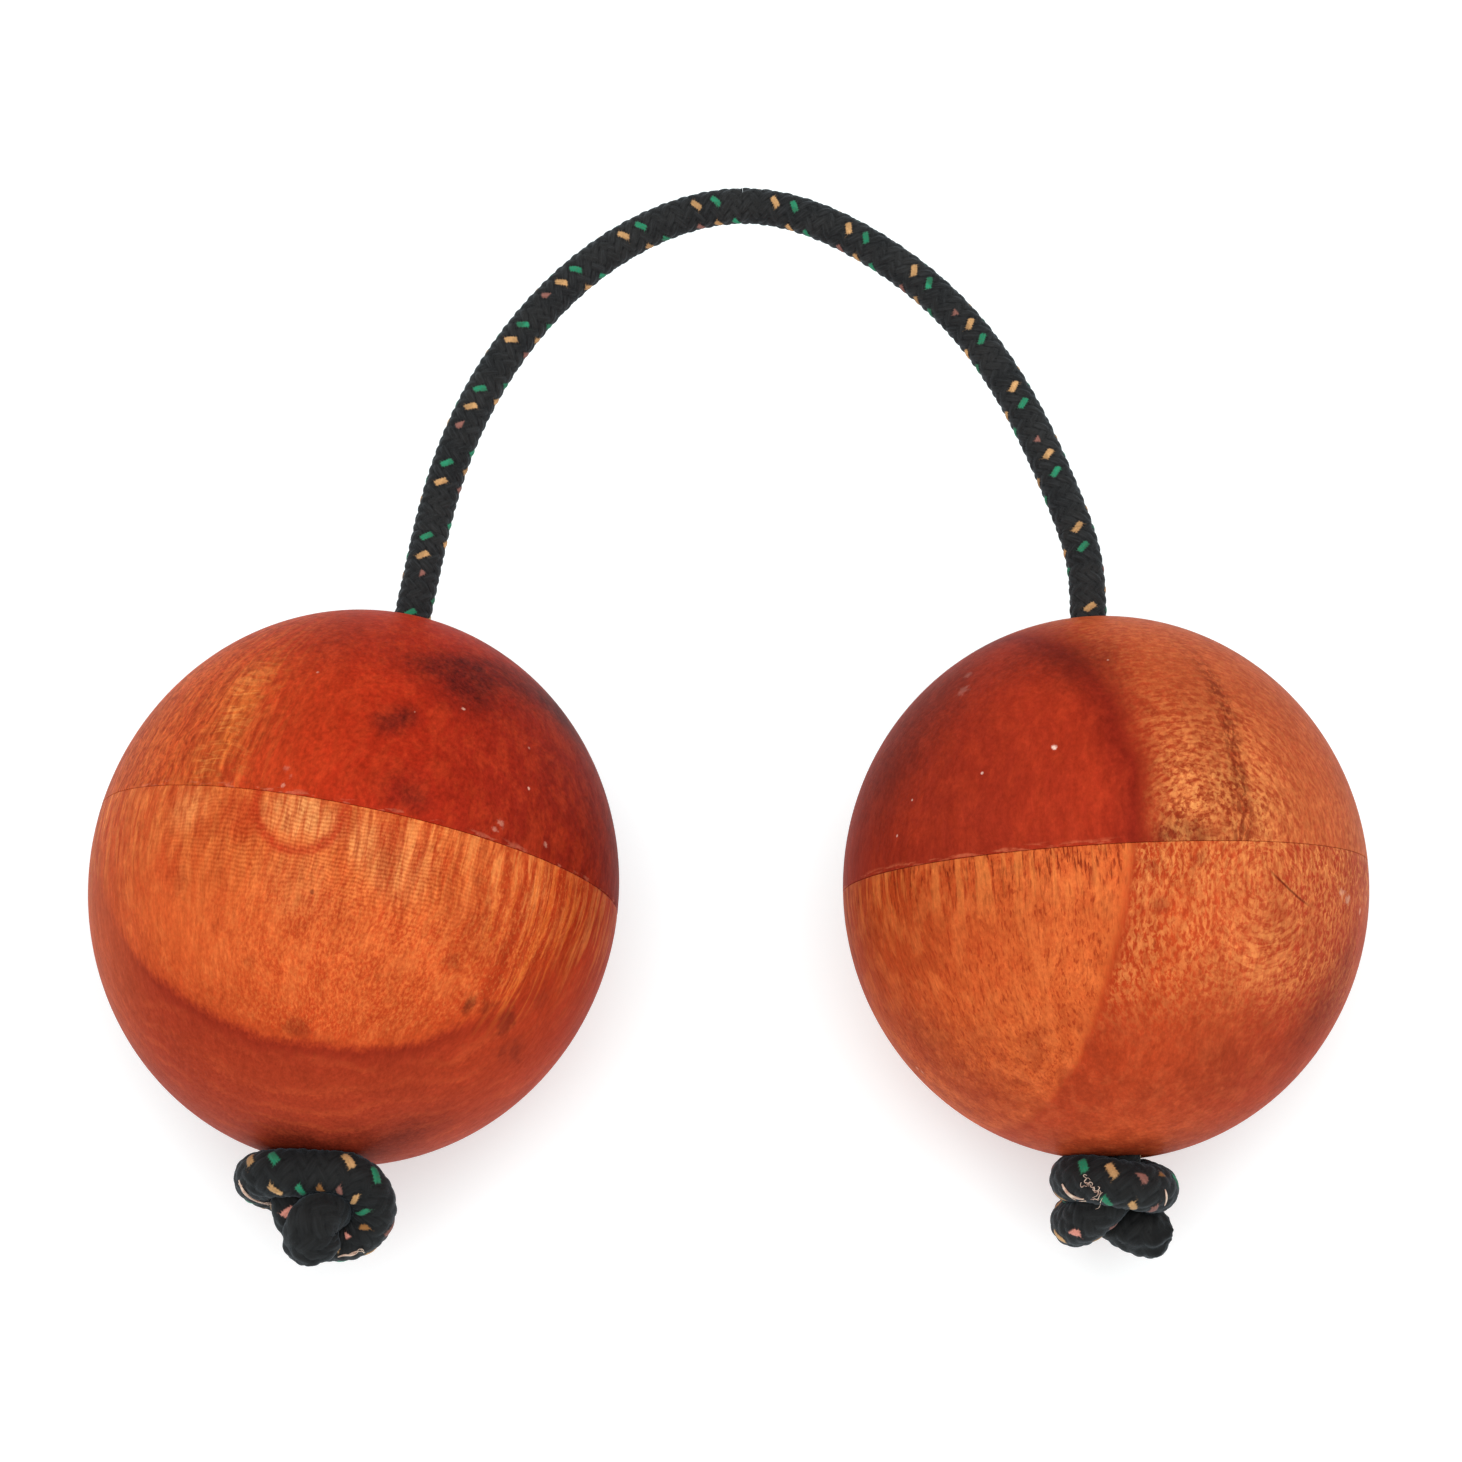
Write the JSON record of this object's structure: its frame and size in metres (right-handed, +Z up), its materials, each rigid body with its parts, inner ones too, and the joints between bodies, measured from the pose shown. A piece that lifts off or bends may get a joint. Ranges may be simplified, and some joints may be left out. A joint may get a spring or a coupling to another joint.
{
  "type": "kashaka",
  "caption": "Kashaka rattle: turned reddish hardwood balls holding loose seeds, strung on a black braided cord with coloured flecks and knotted at both ends.",
  "frame": {"origin": "on the table under the middle between the balls", "axes": "+X from the left ball to the right one, +Y towards the cord's arch, +Z up from the table"},
  "size_m": [0.1453, 0.1256, 0.0598],
  "materials": {
    "wood_left_upper": "satin reddish-brown hardwood",
    "wood_left_lower": "satin golden-orange hardwood",
    "wood_right_upper": "satin brick-red hardwood",
    "wood_right_lower": "satin orange hardwood",
    "seed": "dry matte seed",
    "cord": "black braid with coloured flecks",
    "cord_knot": "black braid with coloured flecks, cut end melted",
    "cord_inside": "black braid"
  },
  "bodies": {
    "cord": {"cord_arch": "cord"},
    "left_neck": {"left_cord_neck": "cord_inside"},
    "left_leg": {"left_cord_leg": "cord_inside", "left_knot": "cord_knot"},
    "left_ball": {"left_shell_upper": "wood_left_upper", "left_shell_lower": "wood_left_lower"},
    "left_seeds": {"left_seed_01": "seed", "left_seed_02": "seed", "left_seed_03": "seed", "left_seed_04": "seed", "left_seed_05": "seed", "left_seed_06": "seed", "left_seed_07": "seed", "left_seed_08": "seed", "left_seed_09": "seed", "left_seed_10": "seed", "left_seed_11": "seed", "left_seed_12": "seed"},
    "right_neck": {"right_cord_neck": "cord_inside"},
    "right_leg": {"right_cord_leg": "cord_inside", "right_knot": "cord_knot"},
    "right_ball": {"right_shell_upper": "wood_right_upper", "right_shell_lower": "wood_right_lower"},
    "right_seeds": {"right_seed_01": "seed", "right_seed_02": "seed", "right_seed_03": "seed", "right_seed_04": "seed", "right_seed_05": "seed", "right_seed_06": "seed", "right_seed_07": "seed", "right_seed_08": "seed", "right_seed_09": "seed", "right_seed_10": "seed", "right_seed_11": "seed", "right_seed_12": "seed"}
  },
  "joints": [
    {"name": "left_swing", "type": "hinge", "parent": "cord", "child": "left_neck", "pos_m": [-0.03384, 0.04581, 0.03293], "axis": [0, 0, 1], "range_deg": [-75, 15], "stiffness_Nm_per_rad": 0.004},
    {"name": "left_lift", "type": "hinge", "parent": "left_neck", "child": "left_leg", "pos_m": [-0.03571, 0.03701, 0.03246], "axis": [-0.9781, 0.2079, 0], "range_deg": [-75, 75], "stiffness_Nm_per_rad": 0.004},
    {"name": "left_spin", "type": "hinge", "parent": "left_leg", "child": "left_ball", "pos_m": [-0.0429, 0, 0.02982], "axis": [0.1903, 0.9792, 0.0698], "continuous": true},
    {"name": "left_rattle", "type": "hinge", "parent": "left_ball", "child": "left_seeds", "pos_m": [-0.0429, 0, 0.02982], "axis": [0.1903, 0.9792, 0.0698], "continuous": true},
    {"name": "right_swing", "type": "hinge", "parent": "cord", "child": "right_neck", "pos_m": [0.03826, 0.04512, 0.03606], "axis": [0, 0, -1], "range_deg": [-75, 15], "stiffness_Nm_per_rad": 0.004},
    {"name": "right_lift", "type": "hinge", "parent": "right_neck", "child": "right_leg", "pos_m": [0.04074, 0.03649, 0.03543], "axis": [-0.9613, -0.2756, 0], "range_deg": [-75, 75], "stiffness_Nm_per_rad": 0.004},
    {"name": "right_spin", "type": "hinge", "parent": "right_leg", "child": "right_ball", "pos_m": [0.04265, 0, 0.02965], "axis": [-0.0517, 0.9863, 0.1564], "continuous": true},
    {"name": "right_rattle", "type": "hinge", "parent": "right_ball", "child": "right_seeds", "pos_m": [0.04265, 0, 0.02965], "axis": [-0.0517, 0.9863, 0.1564], "continuous": true}
  ]
}
